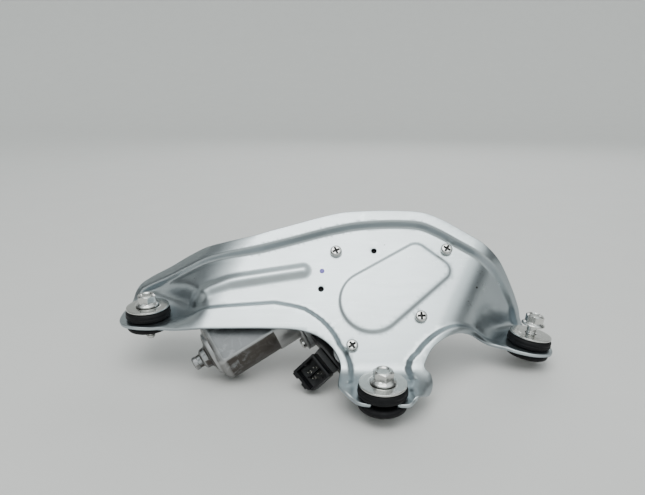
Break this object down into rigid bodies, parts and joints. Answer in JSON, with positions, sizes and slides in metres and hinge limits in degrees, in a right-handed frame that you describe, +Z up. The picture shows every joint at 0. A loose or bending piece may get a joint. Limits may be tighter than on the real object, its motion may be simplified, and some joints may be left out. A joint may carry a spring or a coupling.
{
  "type": "rear wiper motor assembly",
  "caption": "Rear wiper motor on a pressed steel bracket with three rubber-mounted bolt ears, worm gearbox, output spindle and wiring socket.",
  "frame": {"origin": "middle of the footprint, at bench height, with the part lying as it rests on a bench", "axes": "+X along the bracket from the left ear to the right ear, +Z up, the sheet's front face looks towards -Y and +Z"},
  "size_m": [0.2667, 0.1524, 0.0949],
  "materials": {
    "zinc_sheet": "satin zinc plating, slightly blue",
    "bright_zinc": "bright zinc plating",
    "can_steel": "worn dull grey plating",
    "cast_alloy": "die cast, matt",
    "plain_steel": "machined",
    "sintered_bronze": "matt",
    "copper_wire": "enamelled",
    "terminal_tin": "tinned",
    "ferrite": "matt",
    "carbon": "matt",
    "black_rubber": "matt",
    "connector_plastic": "semi gloss",
    "brush_plate": "matt",
    "acetal": "matt",
    "capacitor_case": "matt",
    "adjuster_nylon": "matt"
  },
  "bodies": {
    "base": {"bracket_plate": "zinc_sheet", "gear_housing": "cast_alloy", "housing_gasket": "black_rubber", "connector_housing": "connector_plastic", "cover_screw_1": "bright_zinc", "cover_screw_2": "bright_zinc", "cover_screw_3": "bright_zinc", "cover_screw_4": "bright_zinc", "wheel_axle": "plain_steel", "upper_bush": "sintered_bronze", "lower_bush": "sintered_bronze", "shaft_seal": "black_rubber", "shaft_washer": "bright_zinc", "motor_can": "can_steel", "magnet_upper": "ferrite", "magnet_lower": "ferrite", "rear_bush": "sintered_bronze", "front_bush": "sintered_bronze", "thrust_ball": "plain_steel", "thrust_adjuster": "adjuster_nylon", "brush_holder": "brush_plate", "brush_upper": "carbon", "brush_lower": "carbon", "brush_spring_upper": "copper_wire", "brush_spring_lower": "copper_wire", "choke_upper": "copper_wire", "choke_lower": "copper_wire", "capacitor": "capacitor_case", "motor_screw_upper": "bright_zinc", "motor_screw_lower": "bright_zinc", "terminal_1": "terminal_tin", "terminal_2": "terminal_tin", "terminal_3": "terminal_tin", "terminal_4": "terminal_tin", "grommet_left": "black_rubber", "sleeve_left": "bright_zinc", "grommet_centre": "black_rubber", "sleeve_centre": "bright_zinc", "grommet_right": "black_rubber", "sleeve_right": "bright_zinc"},
    "armature": {"armature_shaft": "plain_steel", "armature_core": "plain_steel", "armature_winding": "copper_wire", "commutator": "copper_wire"},
    "wheel": {"worm_wheel": "acetal", "crank_pin": "plain_steel"},
    "output": {"output_shaft": "plain_steel", "output_lever": "plain_steel", "lever_pin": "plain_steel", "shaft_clip": "bright_zinc"},
    "link": {"connecting_link": "plain_steel"},
    "bolt_left_body": {"bolt_left": "bright_zinc"},
    "bolt_centre_body": {"bolt_centre": "bright_zinc"},
    "bolt_right_body": {"bolt_right": "bright_zinc"}
  },
  "joints": [
    {"name": "armature_spin", "type": "hinge", "parent": "base", "child": "armature", "pos_m": [0.00421, 0.01226, 0.05523], "axis": [0.8415, 0.3326, 0.4257], "range_deg": [0, 4800]},
    {"name": "wheel_spin", "type": "hinge", "parent": "base", "child": "wheel", "pos_m": [0.01934, -0.01611, 0.0475], "axis": [0, -0.788, 0.6157], "range_deg": [0, 100]},
    {"name": "wiper_sweep", "type": "hinge", "parent": "base", "child": "output", "pos_m": [0.04919, -0.00372, 0.06336], "axis": [0, -0.788, 0.6157], "range_deg": [0, 100]},
    {"name": "link_swing", "type": "hinge", "parent": "output", "child": "link", "pos_m": [0.04629, -0.00993, 0.05541], "axis": [0, -0.788, 0.6157], "range_deg": [-100, 0]},
    {"name": "bolt_left_lift", "type": "slide", "parent": "base", "child": "bolt_left_body", "axis": [-0.0193, -0.0349, 0.9992], "range_m": [0, 0.012]},
    {"name": "bolt_centre_lift", "type": "slide", "parent": "base", "child": "bolt_centre_body", "axis": [0, -0.0349, 0.9994], "range_m": [0, 0.012]},
    {"name": "bolt_right_lift", "type": "slide", "parent": "base", "child": "bolt_right_body", "axis": [0.1587, 0.0253, 0.987], "range_m": [-0.0052, 0.007]}
  ],
  "couplings": [
    {"joint": "wheel_spin", "follows": "armature_spin", "ratio": 0.020833},
    {"joint": "wiper_sweep", "follows": "armature_spin", "ratio": 0.020833},
    {"joint": "link_swing", "follows": "armature_spin", "ratio": -0.020833}
  ]
}
